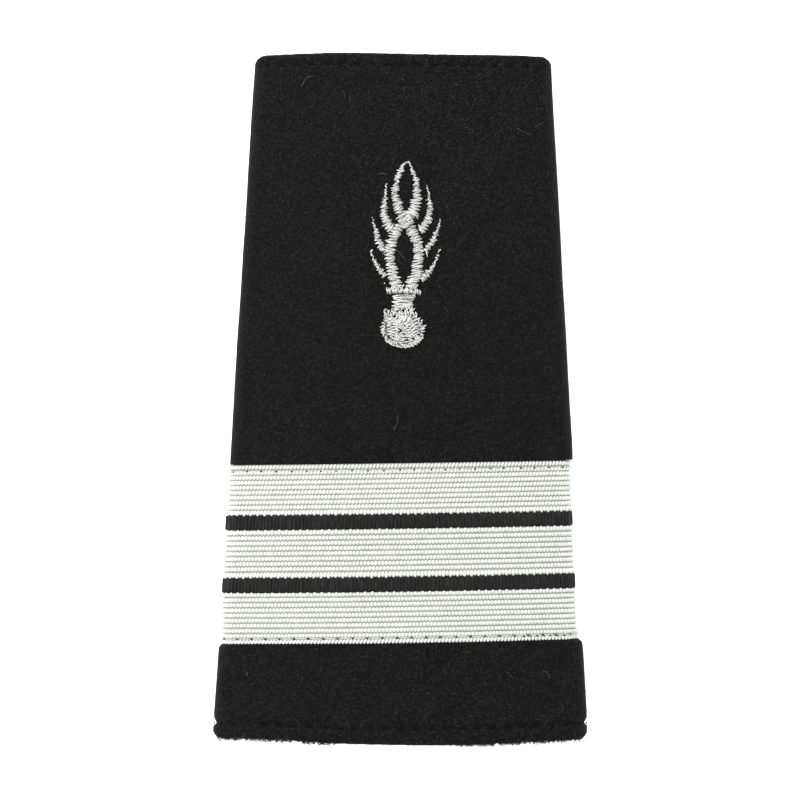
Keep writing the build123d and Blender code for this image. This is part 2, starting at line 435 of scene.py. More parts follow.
# Pressed wool felt, dyed black: matt, mottled, with hairline fibres lying every way
def woolFelt():
    material, tree = startMaterial("black wool felt")
    where = put(tree, "ShaderNodeTexCoord").outputs["Object"]
    drift = put(tree, "ShaderNodeTexNoise", {"Vector": where, "Scale": perMetre(3.333), "Detail": 2.0})
    clump = put(tree, "ShaderNodeTexNoise",
                {"Vector": where, "Scale": perMetre(0.4167), "Detail": 3.0, "Roughness": 0.7})
    cloud = put(tree, "ShaderNodeMix", {0: 0.88, 2: drift, 3: clump})
    base = put(tree, "ShaderNodeValToRGB", {"Fac": cloud},
               stops=[(0.36, "#070707"), (0.5, "#0f0f0f"), (0.64, "#1d1d1c")])
    # thin contour lines of a noise field look like matted hairs; finer ones, as real hairs are, wouldn't show
    field = put(tree, "ShaderNodeTexNoise",
                {"Vector": where, "Scale": perMetre(0.7692), "Detail": 1.5, "Distortion": 1.2})
    offset = put(tree, "ShaderNodeMath", {0: field, 1: 0.5}, operation="SUBTRACT")
    away = put(tree, "ShaderNodeMath", {0: offset}, operation="ABSOLUTE")
    line = put(tree, "ShaderNodeMapRange",
               {"Value": away, "From Min": 0.0, "From Max": 0.014, "To Min": 1.0, "To Max": 0.0})
    patch = put(tree, "ShaderNodeTexNoise", {"Vector": where, "Scale": perMetre(0.5556), "Detail": 1.0})
    broken = put(tree, "ShaderNodeMapRange", {"Value": patch, "From Min": 0.55, "From Max": 0.68})
    hair = put(tree, "ShaderNodeMath", {0: line, 1: broken}, operation="MULTIPLY")
    mixed = put(tree, "ShaderNodeMix", {0: hair, 6: base, 7: hexColour("#3a3a38")}, data_type="RGBA")
    endMaterial(tree, {
        "Base Color": mixed.outputs[2], "Normal": grain(tree, where, 0.3846, 3.0, 0.6, 0.12),
        "Roughness": 0.95, "Specular IOR Level": 0.15, "Sheen Weight": 0.02, "Sheen Roughness": 0.6})
    return material


# Grosgrain weave in black viscose: soft sheen on rounded ribs, with a grey that drifts in streaks across the
# ribs
def blackRib():
    material, tree = startMaterial("black ribbed ribbon")
    where = put(tree, "ShaderNodeTexCoord").outputs["Object"]
    # each rib of 0.53 mm has finer ends 0.3 mm wide, of their own shade over 2 mm of its run
    weave = put(tree, "ShaderNodeAttribute", attribute_name="weave").outputs["Vector"]
    streak = put(tree, "ShaderNodeMapping", {"Vector": weave, "Scale": (3.2, 0.5, 1.0)})
    base = mottle(tree, streak, 1.0, 2.0, [(0.36, "#070707"), (0.52, "#0c0c0c"), (0.66, "#272726")], 0.65)
    endMaterial(tree, {
        "Base Color": base, "Normal": grain(tree, where, 0.25, 2.0, 0.4, 0.08),
        "Roughness": 0.7, "Specular IOR Level": 0.35, "Sheen Weight": 0.1})
    return material


# Silvered polyester yarn, woven, and the threads: bright and slightly glossy, with tiny differences from bead
# to bead; on the satin thread the fine mottle is painted glints, and the braid ground and the thread in
# shadow are darker copies that stand for painted shade
def silverYarn(name, light, dark, roughness, spot, gloss=0.5):
    material, tree = startMaterial(name)
    where = put(tree, "ShaderNodeTexCoord").outputs["Object"]
    base = mottle(tree, where, perMetre(spot), 2.0, [(0.38, dark), (0.62, light)])
    endMaterial(tree, {
        "Base Color": base, "Normal": grain(tree, where, 0.1111, 2.0, 0.25, 0.05),
        "Roughness": roughness, "Specular IOR Level": gloss})
    return material


# A strand of wool or lint: matt, its shade drifting from grey to pale
def strandMaterial(name, light, dark, spot=2.0):
    material, tree = startMaterial(name)
    where = put(tree, "ShaderNodeTexCoord").outputs["Object"]
    base = mottle(tree, where, perMetre(spot), 1.0, [(0.42, dark), (0.68, light)])
    endMaterial(tree, {"Base Color": base, "Roughness": 0.9, "Specular IOR Level": 0.2})
    return material


feltSkin = woolFelt()
ribSkin = blackRib()
braidYarn = silverYarn("silvered braid yarn", "#f6f7f3", "#eaece6", 0.45, 0.8)
# the ground between the beads is the same silvered yarn, given a grey that is painted shade of the hollows
# under the beads
shadedBraidGround = silverYarn("silvered braid ground, painted shade", "#a6a89e", "#96988e", 0.6, 0.5)
# its fine mottle of white and pale grey in 0.2 mm spots is painted glints, where the twisted thread turns to
# the light
satinThread = silverYarn("silver satin thread, painted glints", "#ffffff", "#eeeee8", 0.26, 0.2, 0.9)
satinShade = silverYarn("silver thread in shadow", "#c4c4bb", "#8f8e83", 0.45, 0.32)
satinPad = silverYarn("satin stitch underlay", "#8a887b", "#4a483f", 0.8, 0.35)
sewingThread = silverYarn("grey sewing thread", "#cbcdc5", "#bbbdb4", 0.55, 0.3)
holeShade = strandMaterial("needle hole shadow", "#262623", "#141412")
blackThread = strandMaterial("black sewing thread", "#0c0c0c", "#060606")
woolFuzz = strandMaterial("black wool fibre", "#646667", "#222324", 0.3)
paleLint = strandMaterial("pale lint fibre", "#a6a8a8", "#696b6b")
edgeFuzz = strandMaterial("raw edge fibre", "#4a4a48", "#171717")
print("materials ready")


felt = {
    "columns": 380,
    "seamColumns": (-0.42, -0.3, -0.2, -0.1, 0.1, 0.2, 0.3, 0.42),  # more of them beside the back's seam
    "folds": (-28, 28),
    "hemGroove": (2.3, 2.6),  # from the hem, at the left and the right fold
    "hemGrooveHalf": (0.9, 0.4),  # above and below its bottom
    "neckGroove": 1.6,
    "neckGrooveHalf": 0.55,
    "neckGrooveShare": 0.7,
    "grooveDepth": 0.32,
    "grooveSharpness": 2.2,
    "dimplePitch": 2.28,
    "edgeRound": 0.5,
    "seamHalf": 0.25,
    "seamDepth": 0.45,
    "seamEnd": 0.02,
    "wave": 0.07,
    "waveSize": 9.0,
    "ripple": 0.025,
    "rippleSize": 1.6,
    "bedDepth": 0.94,
    "bedRoom": 0.04,
    "pressedWall": 1.1,
    "pressEase": (1.2, 4.7),  # beside the ribbon the wall swells from pressed to full between these
    "levelling": (1.5, 10),  # and the slanting rows level out between these
    "bandDraw": (0.9, 0.12),  # the ribbon pulls the felt in on its hem side, hardly on the other
    "bandLip": (0.12, 0.03),
    "hemPinch": 0.18,  # the hem is tighter at the right
    "hemPinchReach": 2.4,
    "hemSpare": 0.22,  # the raw edge frays a little past the cut
    "bowFade": 10,
    "hemRoundFade": 2.0,
    "neckRoundFade": 1.8,
    # how far each cut edge strays inwards across the width
    "hemLine": [(-28, 0.7), (-22, 0.74), (-16, 0.55), (-11, 0.24), (-4, 0.1), (3, 0.02), (9, 0.04),
                (14, 0.2), (19, 0.4), (23, 0.58), (28, 0.66)],
    "neckLine": [(-21, 0.17), (-16, 0.0), (-10, -0.15), (-5, -0.05), (0, 0.04), (6, 0.1), (13, 0.1),
                 (17, 0.08), (21, 0.16)],
    # the raw hem edge frays in two runs: places across, and how much at each
    "frayed": [(-27.5, -26, -12, -9, 7, 10, 26, 27.5), (0.3, 1, 1, 0, 0, 1, 1, 0.3)],
    "ragged": 0.06,
    "torn": 0.26,
    "stitchGrow": -0.16,
    "stitch": (0.34, 1.25, 0.2),
}


def spaced(*runs):
    values = []
    for start, end, step in runs:
        count = max(1, round(abs(end - start) / step))
        values += list(np.linspace(start, end, count, endpoint=False))
    return values


def fade(distance, reach):
    return np.interp(distance, [0, reach], [1, 0])


# the value at x, from a table of x and value
def lineAt(x, table):
    return np.interp(x, *np.array(table).T)


def fromBand(y):
    return max(0.0, bandLowY - y, y - bandHighY)


# how far an end's edge is drawn in at x, by its uneven line and by its rounded corners
def endDraw(x, width, corner, line):
    over = np.clip(np.abs(x) - (width / 2 - corner), 0, corner)
    return lineAt(x, line), corner - np.sqrt(corner**2 - over**2)


# rows round the sleeve, from inside the hem over the outer face to the neck and back: y, depth, kind
def feltRows():
    r, wall, bed = felt["edgeRound"], sleeve["wall"], felt["bedDepth"]
    pressed = bed + felt["pressedWall"]
    bedLow, bedHigh = bandLowY - felt["bedRoom"], bandHighY + felt["bedRoom"]
    near, far = felt["pressEase"]
    turns = np.linspace(0, math.pi, 7)
    rows = [(hemY + r * (1 - math.sin(t)), wall / 2 * (1 + math.cos(t)), "edge") for t in turns]
    # each run is a start, an end and a step, closest at the grooves and beside the ribbon
    rows += [(y, 0.0, "outer") for y in spaced(
        (hemY + r + 0.2, hemY + 1.5, 0.3), (hemY + 1.5, hemY + 3.5, 0.18),
        (hemY + 3.5, bedLow - 1.0, 0.72), (bedLow - 1.0, bedLow, 0.16))]
    rows += [(bedLow, 0.14, "lip"), (bedLow + 0.02, bed, "bed")]
    rows += [(y, bed, "bed") for y in spaced((bedLow + 2, bedHigh - 1, 2.6))]
    rows += [(bedHigh - 0.02, bed, "bed"), (bedHigh, 0.05, "lip")]
    rows += [(y, 0.0, "outer") for y in spaced(
        (bedHigh + 0.05, bedHigh + 1.0, 0.16), (bedHigh + 1.0, neckY - 3.0, 0.72),
        (neckY - 3.0, neckY - 0.9, 0.18), (neckY - 0.9, neckY - r - 0.1, 0.2))]
    rows += [(neckY - r * (1 - math.sin(t)), wall / 2 * (1 - math.cos(t)), "edge") for t in turns]
    rows += [(y, np.interp(y, [bandLowY - far, bandLowY - near, bandHighY + near, bandHighY + far],
                           [wall, pressed, pressed, wall]), "inner") for y in spaced(
        (neckY - 2.5, bandHighY + far, 5.0), (bandHighY + far, bandHighY + near, 1.0),
        (bandHighY + near, bandLowY - near, 4.5), (bandLowY - near, bandLowY - far, 1.0),
        (bandLowY - far, hemY + 2.0, 3.0))]
    return rows


# how far the folds are drawn in along a row
def feltPinch(kind, share, y, rowY):
    away = fromBand(y)
    atBand = bandPinch(share, np.clip(rowY, bandLowY, bandHighY))
    if kind == "bed":
        return atBand
    if kind == "inner":
        return atBand * np.interp(away, felt["pressEase"], [1, 0])
    flare = felt["hemPinch"] * math.exp(-(((y - hemY) / felt["hemPinchReach"]) ** 2)) * (share < 0.5)
    drawn = felt["bandDraw"][0 if y < bandMiddleY else 1]
    return flare + atBand * drawn * (0.7 * max(0.0, 1 - away / 0.6) + 0.3 * math.exp(-away / 0.9))


# depth of the stitched grooves with their dimples, and of the soft lip beside the ribbon
def feltDip(share, y, rowY, flatX, pinch):
    sharp = felt["grooveSharpness"]
    beyond = y - hemY - np.interp(flatX, felt["folds"], felt["hemGroove"])
    beyond = beyond / np.where(beyond > 0, *felt["hemGrooveHalf"])
    hemDip = felt["grooveDepth"] * np.exp(-sharp * beyond**2)
    beside = (neckY - y - felt["neckGroove"]) / felt["neckGrooveHalf"]
    neckDip = felt["grooveDepth"] * felt["neckGrooveShare"] * math.exp(-sharp * beside**2)
    lip = felt["bandLip"][0 if y < bandMiddleY else 1] * math.exp(-fromBand(y) / 0.25)
    level = np.abs(aroundSleeve(share, rowY, 0.0, pinch)[1][:, 2])
    onFlat = np.interp(level, [0.3, 0.8], [0, 1])  # the neck groove leaves the folds alone
    dimple = 1 + onFlat * (0.45 * np.cos(2 * math.pi * flatX / felt["dimplePitch"]) - 0.25)
    return hemDip * dimple * (1.4 - 0.4 * onFlat) + neckDip * dimple * onFlat + lip


# soft unevenness of the outer face, with a butt seam down the middle of the back
def feltSurface(point, normal, flatX):
    seam = np.where(normal[:, 2] < -0.9, np.exp(-((np.abs(flatX) / felt["seamHalf"]) ** 4)), 0.0)
    atSeam = seam > felt["seamEnd"]
    bump = np.array([felt["wave"] * noise.noise(Vector(p) / felt["waveSize"])
                     + felt["ripple"] * noise.noise(Vector(p) / felt["rippleSize"]) for p in point])
    point = point + normal * np.where(atSeam, -felt["seamDepth"] * seam, bump)[:, None]
    point[:, 2] = np.where(atSeam, point[:, 2], np.maximum(point[:, 2], 0.0))
    return point


def feltRagged(point, frayed):
    return np.array([felt["ragged"] * noise.noise(Vector(p) * 1.4)
                     + felt["torn"] * torn * noise.noise(Vector(p) * 3.3) for p, torn in zip(point, frayed)])


def makeFelt():
    extra = np.array(felt["seamColumns"]) / girth(0.0)
    share = np.sort(np.concatenate([np.arange(felt["columns"]) / felt["columns"], extra % 1.0]))
    levelFrom = [bandWidth / 2 + reach for reach in felt["levelling"]]
    grid = []
    for y, depth, kind in feltRows():
        # the rows slant with the ribbon beside it, and level out towards both ends
        flatX = aroundSleeve(share, y)[0][:, 0]
        rowY = y + flatX * math.tan(band["tilt"]) * np.interp(abs(y - bandMiddleY), levelFrom, [1, 0])
        toHem, toNeck = y - hemY, neckY - y
        bow, corner = endDraw(flatX, sleeve["hemWidth"], sleeve["hemCorner"], felt["hemLine"])
        rowY += (bow - felt["hemSpare"]) * fade(toHem, felt["bowFade"])
        rowY += corner * fade(toHem, felt["hemRoundFade"])
        bow, corner = endDraw(flatX, sleeve["neckWidth"], sleeve["neckCorner"], felt["neckLine"])
        rowY -= bow * fade(toNeck, felt["bowFade"]) + corner * fade(toNeck, felt["neckRoundFade"])
        pinch = feltPinch(kind, share, y, rowY)
        if kind == "outer":
            depth = feltDip(share, y, rowY, flatX, pinch)
        point, normal = aroundSleeve(share, rowY, -depth, pinch)
        if kind in ("outer", "edge", "lip"):
            point = feltSurface(point, normal, flatX)
        if kind == "edge":
            point[:, 1] += feltRagged(point, np.interp(flatX, *felt["frayed"]) * (y < 0))
        grid.append(point)
    return tubeMesh("felt_tube", np.array(grid))


feltMesh = makeFelt()
feltTube = settle(newPiece("felt_tube", feltMesh, feltSkin))
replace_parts(feltTube, "felt_sleeve")
print("felt sleeve", len(feltMesh.polygons), "faces")


# the turned-in edges are held by black machine stitches that sink into their grooves
def edgeStitchGuide():
    groups = []
    neckGroove = (felt["neckGroove"], felt["neckGroove"])
    for near, inward, groove, line, spare in (
            (hemY, 1, felt["hemGroove"], felt["hemLine"], felt["hemSpare"]),
            (neckY, -1, neckGroove, felt["neckLine"], 0.0)):
        around = girth(near)
        count = round(around / felt["dimplePitch"])
        share = 0.5 + (np.arange(count) - count // 2) * felt["dimplePitch"] / around
        flatX = aroundSleeve(share, near)[0][:, 0]
        reach = np.interp(flatX, felt["folds"], groove)
        bow = (lineAt(flatX, line) - spare) * (1 - reach / felt["bowFade"])
        point, normal = aroundSleeve(share, near + inward * (reach + bow), felt["stitchGrow"])
        offSole = normal[:, 2] >= -0.7  # none on the flat back
        point, normal = point[offSole], normal[offSole]
        groups.append((point, normal, roundSleeve(normal), felt["stitch"]))
    return pillowGuide(groups)


growPiece("felt_edge_stitches", edgeStitchGuide(), pillows, {
    "Sides": 10, "Rings": 5, "Turn": 0.06, "Size spread": 0.15, "Seed": 9, "Material": blackThread})


ribbon = {
    "ribs": 204,
    "perRib": 6,
    "ribHeight": 0.28,
    "ribJitter": 0.25,
    "ground": -0.45,
    "stripe": -0.19,
    "stripeEdge": -0.29,
    "edge": -0.6,
    "back": -0.9,
    "flatAt": (-20.0, 0.5),  # its cut length is the girth at this y, drawn in this much
}
stripeStarts = (band["outerBraid"], band["outerBraid"] + band["blackStripe"] + band["middleBraid"])


# distance up the ribbon, height from the felt's face, and how much of a rib stands there
def bandRows():
    ground, stripe, stripeEdge = ribbon["ground"], ribbon["stripe"], ribbon["stripeEdge"]
    rows = [(0.0, ribbon["back"], 0), (0.0, ribbon["edge"], 0), (0.05, ground, 0)]
    for start in stripeStarts:
        end = start + band["blackStripe"]
        rows += [(start - 1.0, ground, 0), (start + 0.02, ground, 0), (start + 0.04, stripeEdge, 0.5)]
        rows += [(up, stripe, 1.0) for up in np.linspace(start + 0.14, end - 0.14, 5)]
        rows += [(end - 0.04, stripeEdge, 0.5), (end - 0.02, ground, 0), (end + 1.0, ground, 0)]
    rows += [(bandWidth - 0.05, ground, 0), (bandWidth, ribbon["edge"], 0), (bandWidth, ribbon["back"], 0)]
    return rows + [(up, ribbon["back"], 0) for up in np.linspace(bandWidth - 2, 2, 5)]


def makeRibbon():
    count = ribbon["ribs"] * ribbon["perRib"]
    share = np.arange(count) / count
    jitter = rng.normal(1.0, ribbon["ribJitter"], 2 * ribbon["ribs"])
    grid, weave = [], []
    for up, grow, ribbed in bandRows():
        stripeUp = stripeStarts[0 if up < bandWidth / 2 else 1] + band["blackStripe"] / 2
        along = (share - 0.5) * bandGirth(stripeUp) / band["weavePitch"] + ribbon["ribs"]
        wave = np.abs(np.sin(math.pi * along)) ** 0.8 * jitter[along.astype(int)]
        grid.append(onBand(share, up, grow + ribbed * ribbon["ribHeight"] * (wave - 0.5))[0])
        weave.append(np.stack([along * band["weavePitch"], np.full(count, up), np.zeros(count)], axis=-1))
    mesh = tubeMesh("ribbon_ground", np.array(grid))
    attribute(mesh, "weave", np.array(weave))  # millimetres round the sleeve and up the ribbon
    return mesh


ribbonPiece = settle(newPiece("ribbon_ground", makeRibbon(), ribSkin))
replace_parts(ribbonPiece, "ribbon")
print("ribbon ground", len(ribbonPiece.data.polygons), "faces")


braids = {
    "columns": 204,
    "bead": (0.6, 0.745, 0.34),  # width, length and height
    "sink": -0.12,
    "raise": 0.08,
    "tilt": 0.24,  # each bead's head lies over the row above
    "tiltJitter": 0.03,
    "lean": [(-27, 0.46), (-10, 0.2), (0, 0.09), (27, -0.1)],  # at places across the front
    "leanJitter": 0.05,
    "placeJitter": 0.02,
    "wobble": 0.03,
    "tooth": 0.18,  # the last beads reach over the black stripe by turns
    "toothSpread": (0.6, 1.2),
    "oddTooth": 0.2,
    "reachDown": 0.04,
    "reachUp": -0.08,
    "overFelt": 0.28,
    "feltLean": 0.4,  # the edge row at the felt is of finer, slanting turns of yarn
    "feltWidth": 0.8,
    "crest": -0.14,
    "valley": -0.21,
    "under": -0.41,
}
# name, start, width, first row, row pitch, rows, step aside per row, and which edges meet a black stripe
braidTable = [
    ("lower", 0.0, band["outerBraid"], 0.2, 0.764, 10, 0.44, (False, True)),
    ("middle", stripeStarts[0] + band["blackStripe"], band["middleBraid"], 0.38, 0.767, 9, 0.5, (True, True)),
    ("upper", bandWidth - band["outerBraid"], band["outerBraid"], 0.28, 0.733, 10, -0.39, (True, False)),
]


def braidBase(start, width, first, pitch, rows):
    share = np.arange(braids["columns"]) / braids["columns"]
    profile = [(0.05, "under"), (0.02, "crest")]
    for row in range(rows):
        for part, level in ((-0.5, "valley"), (-0.2, "crest"), (0.2, "crest")):
            profile.append((np.clip(first + pitch * (row + part), 0.08, width), level))
    profile += [(width - 0.02, "crest"), (width - 0.05, "under"), (width / 2, "under")]
    return np.array([onBand(share, start + up, braids[level])[0] for up, level in profile])


def beadGuide(start, width, first, pitch, rows, step, atStripe):
    groups = []
    beadWidth, beadLength, beadHeight = braids["bead"]
    for row in range(rows):
        up = start + first + pitch * row + braids["raise"]
        around = bandGirth(up)
        count = int(around / band["weavePitch"])
        columns = np.arange(count) - count // 2
        shift = step * row + rng.normal(0, braids["placeJitter"])
        share = 0.5 + (columns + shift) * band["weavePitch"] / around
        tooth = braids["tooth"] * np.where(columns % 2, braids["oddTooth"], 1.0)
        tooth = tooth * rng.uniform(*braids["toothSpread"], count)
        low = np.full(count, up - beadLength / 2)
        high = low + beadLength
        if row == 0:
            low = start - (tooth + braids["reachDown"] if atStripe[0] else braids["overFelt"])
        if row == rows - 1:
            high = start + width + (tooth + braids["reachUp"] if atStripe[1] else 0.0)
        wobble = [noise.noise(Vector((c * 0.13, row * 3.1 + start, 0.5))) for c in columns]
        point, normal = onBand(share, (low + high) / 2 + braids["wobble"] * np.array(wobble), braids["sink"])
        atFelt = (row == 0 and not atStripe[0]) or (row == rows - 1 and not atStripe[1])
        lean = lineAt(point[:, 0], braids["lean"]) + rng.normal(0, braids["leanJitter"], count)
        lean = (lean + braids["feltLean"] * atFelt)[:, None]
        along = roundSleeve(normal) * np.sin(lean) + np.array([0, 1, 0]) * np.cos(lean)
        tilt = (braids["tilt"] * (row > 0) + rng.normal(0, braids["tiltJitter"], count))[:, None]
        wide = beadWidth * (braids["feltWidth"] if atFelt else 1.0)
        sizes = np.stack([np.full(count, wide), high - low, np.full(count, beadHeight)], axis=-1)
        groups.append((point, normal * np.cos(tilt) - along * np.sin(tilt), along, sizes))
    return pillowGuide(groups)


braidPieces = []
for place, *shape, step, atStripe in braidTable:
    braid = "silver_braid_" + place
    # the weave's ground layer, in the grey of painted shade between the beads
    ground = newPiece(braid + "_ground", tubeMesh("braid ground", braidBase(*shape)), shadedBraidGround)
    beads = growPiece(braid + "_weave", beadGuide(*shape, step, atStripe), pillows, {
        "Sides": 8, "Rings": 4, "Turn": 0.05, "Size spread": 0.05, "Seed": len(place), "Material": braidYarn})
    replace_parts(beads, braid)
    braidPieces += [settle(ground), beads]


ribbonStitch = {
    "length": 0.94,  # share of its pitch
    "width": 0.3,
    "height": 0.17,
    "wander": 0.02,
    "pitchJitter": 0.04,
    "turnJitter": 0.03,
    "grow": -0.03,
    "hole": (0.36, 0.25, 0.2),
    "holeTurn": 0.15,
    "holeGrow": 0.05,
    # distance up the ribbon, stitch length, x of one hole at the left, and the x range that is sewn
    "rows": [(0.62, 2.2, -24.3, None), (bandWidth - 1.04, 2.26, -22.52, None),
             (0.52, 1.06, 18.4, (18, 25.5))],
}


# one guide for the stitches, which lie between the holes, and one for the holes
def stitchGuides():
    stitches, holes = [], []
    for up, pitch, firstX, span in ribbonStitch["rows"]:
        step = pitch / bandGirth(up)
        share = (frontShare(firstX, up) + step * np.arange(-int(0.5 / step), int(0.5 / step))) % 1.0
        if span:
            share = share[(share < frontShare(span[0], up)) & (share > frontShare(span[1], up))]
        count = len(share)
        share = share + rng.normal(0, ribbonStitch["pitchJitter"], count) * step
        drift = rng.normal(0, ribbonStitch["wander"], count)
        size = (pitch * ribbonStitch["length"], ribbonStitch["width"], ribbonStitch["height"])
        for groups, offset, grow, turn, box in (
                (stitches, 0.5, ribbonStitch["grow"], 0.0, size),
                (holes, 0.0, ribbonStitch["holeGrow"], ribbonStitch["holeTurn"], ribbonStitch["hole"])):
            point, normal = onBand(share + offset * step, up + drift, grow)
            turned = rng.normal(turn, ribbonStitch["turnJitter"], count)[:, None]
            upward = np.array([0, 1, 0]) + roundSleeve(normal) * turned
            groups.append((point, normal, upward, box))
    return pillowGuide(stitches), pillowGuide(holes)


stitchMesh, holeMesh = stitchGuides()
braidPieces.append(growPiece("ribbon_stitches", stitchMesh, pillows, {
    "Sides": 12, "Rings": 6, "Turn": 0.01, "Size spread": 0.03, "Seed": 5, "Material": sewingThread}))
braidPieces.append(growPiece("ribbon_needle_holes", holeMesh, pillows, {
    "Sides": 8, "Rings": 5, "Turn": 0.4, "Size spread": 0.25, "Seed": 6, "Material": holeShade}))


# places in the motif are across and up from its foot, on the cloth
motif = {
    "foot": (0.17, hemY + 58.4),
    "lean": math.radians(-1.0),
    "threadWidth": 0.2,
    "threadFlat": 0.45,
    "threadStep": 0.1,
    "twistLength": 0.9,
    "pitch": 0.42,
    "height": 0.48,
    "heightSpread": (0.75, 1.2),
    "ballSpread": (-0.05, 0.08),
    "bowJitter": 0.04,
    "edgeInset": 0.07,
    "placeJitter": 0.1,
    "edgeJitter": 0.09,
    "strayShare": 0.08,  # of the stitches reach this much further out
    "strayReach": 0.14,
    "narrow": 0.24,  # where a tip is narrower, only every other stitch shows on the cloth
    "slender": 0.12,  # a band narrower than its full height's width lies lower
    "underHeight": 0.8,
    "root": -0.06,
    "arch": 2.6,  # a higher power makes a stitch flatter on top
    "padFoot": -0.08,
    "padInset": 0.2,
    "padAcross": (-1.0, -0.8, -0.45, 0.0, 0.45, 0.8, 1.0),
    "crossingUp": 18.9,
    "crossingHalf": 1.2,
    "crossingRise": 0.32,
    "sideShare": 0.9,  # height of the side flames beside the tall one
}
# the tall flame is two crossed bands: left edge (across, up) and right edge, from the tip down to the collar
tallBands = {
    "over": [
        (0.44, 27.34, 0.62, 27.56), (0.22, 27.52, 0.32, 27.8), (-0.1, 27.58, 0.06, 27.86),
        (-0.6, 27.3, -0.1, 27.45), (-0.95, 27.0, -0.35, 26.9),
        (-1.25, 26.5, -0.45, 26.3), (-1.55, 25.95, -0.62, 25.75), (-1.75, 25.35, -1.0, 25.2),
        (-1.95, 24.55, -1.1, 24.5), (-2.15, 23.85, -1.05, 23.9), (-2.27, 22.9, -1.1, 23.1),
        (-2.25, 22.2, -1.0, 22.55), (-2.1, 21.4, -0.7, 21.85), (-1.8, 20.65, -0.4, 21.2),
        (-1.45, 19.8, -0.05, 20.6), (-1.15, 18.85, 0.55, 19.75), (-0.55, 18.15, 1.1, 18.9),
        (-0.1, 17.5, 1.55, 18.2), (0.4, 16.75, 2.0, 17.35), (0.75, 16.15, 2.4, 16.65),
        (1.05, 15.35, 2.68, 15.75), (1.18, 14.35, 2.9, 14.65), (1.08, 13.3, 2.93, 13.5),
        (0.94, 12.2, 2.76, 12.5), (0.8, 11.25, 2.82, 11.65), (0.38, 10.3, 2.72, 10.75),
        (0.02, 9.65, 2.25, 10.0), (0.05, 9.1, 1.75, 9.3)],
    "under": [
        (0.5, 27.3, 0.72, 27.3), (0.45, 26.75, 0.82, 26.85), (0.62, 26.2, 1.35, 26.15),
        (0.87, 25.6, 1.58, 25.65), (0.98, 24.8, 1.78, 25.0), (0.95, 23.8, 2.08, 24.1),
        (0.93, 23.0, 2.25, 23.2), (0.92, 22.2, 2.3, 22.3), (0.73, 21.5, 2.33, 21.6),
        (0.48, 20.85, 1.98, 20.7), (0.1, 20.55, 1.7, 19.75), (-0.3, 19.95, 1.2, 19.1),
        (-1.05, 19.2, 0.35, 18.2), (-1.4, 18.65, -0.1, 17.75), (-2.05, 17.85, -0.5, 17.2),
        (-2.48, 16.8, -0.75, 16.5), (-2.82, 15.85, -1.08, 15.75), (-3.05, 14.95, -1.35, 14.95),
        (-3.0, 13.8, -1.4, 13.75), (-2.84, 12.8, -1.35, 12.9), (-2.74, 11.85, -1.02, 12.0),
        (-2.75, 10.95, -0.8, 11.05), (-2.45, 10.2, -0.55, 10.3), (-2.08, 9.25, -0.2, 9.4)],
}
# across, up and width of each side flame along its middle, from the tip to the root
sideFlames = {
    "left_upper": [(-2.95, 24.4, 0.08), (-3.0, 23.9, 0.14), (-3.1, 23.15, 0.3), (-3.15, 22.4, 0.5),
                   (-3.3, 21.35, 0.95), (-3.25, 20.35, 1.05), (-3.1, 19.45, 1.2), (-2.8, 18.7, 1.3),
                   (-2.45, 18.0, 1.45), (-2.15, 17.55, 1.3)],
    "left_middle": [(-5.0, 19.55, 0.08), (-4.8, 18.85, 0.12), (-4.6, 18.1, 0.35), (-4.45, 17.55, 0.75),
                    (-4.15, 16.65, 0.9), (-3.9, 15.9, 0.95), (-3.45, 15.0, 1.0), (-2.9, 14.35, 1.0)],
    "left_lower": [(-5.0, 14.7, 0.06), (-5.0, 14.05, 0.22), (-4.6, 13.15, 0.5), (-4.05, 12.25, 0.75),
                   (-3.5, 11.4, 0.95), (-3.15, 10.95, 1.0), (-2.9, 10.7, 0.95)],
    "right_upper": [(2.95, 24.45, 0.06), (3.05, 24.0, 0.15), (3.3, 23.05, 0.4), (3.45, 22.2, 0.55),
                    (3.55, 21.5, 0.8), (3.5, 20.65, 0.85), (3.45, 19.8, 1.05), (3.3, 19.2, 1.2),
                    (2.95, 18.6, 1.3), (2.65, 17.9, 1.3), (2.2, 17.4, 1.1)],
    "right_middle": [(4.95, 19.55, 0.06), (5.0, 19.05, 0.14), (4.9, 18.45, 0.28), (4.75, 17.7, 0.45),
                     (4.5, 17.1, 0.75), (4.15, 16.35, 0.85), (3.65, 15.45, 0.95), (3.0, 14.65, 1.0)],
    "right_lower": [(5.05, 15.0, 0.05), (4.85, 14.0, 0.18), (4.5, 13.05, 0.38), (4.0, 12.15, 0.55),
                    (3.6, 11.55, 0.85), (3.1, 10.85, 1.0), (2.5, 10.25, 1.0)],
}


def onCloth(across, up, lift):
    lean = motif["lean"]
    x = motif["foot"][0] + across * math.cos(lean) - up * math.sin(lean)
    y = motif["foot"][1] + across * math.sin(lean) + up * math.cos(lean)
    return np.stack([x, y, crownZ(x, y) + lift], axis=-1)


# one stitch: it comes up through the cloth at one place, arches over and goes down at the other
def stitchLine(start, end, height, bow=0.0, onBall=False, points=9):
    t = np.linspace(0, 1, points)
    start, end = np.array(start, dtype=float), np.array(end, dtype=float)
    along = end - start
    side = np.array([-along[1], along[0]]) / max(1e-6, np.hypot(*along))
    flat = start + along * t[:, None] + side * (bow * np.sin(math.pi * t))[:, None]
    if onBall:
        lift = ballLift(flat[:, 0], flat[:, 1]) + height - 0.16 * np.abs(2 * t - 1) ** 8
    else:
        lift = motif["root"] + (height - motif["root"]) * (1 - np.abs(2 * t - 1) ** motif["arch"])
    return onCloth(flat[:, 0], flat[:, 1], lift)


# stitches from a table with the across and up of each start and end
def stitchRows(table, height, bow=0.0, onBall=False, points=9):
    return [stitchLine(row[:2], row[2:], height, bow, onBall, points) for row in table]


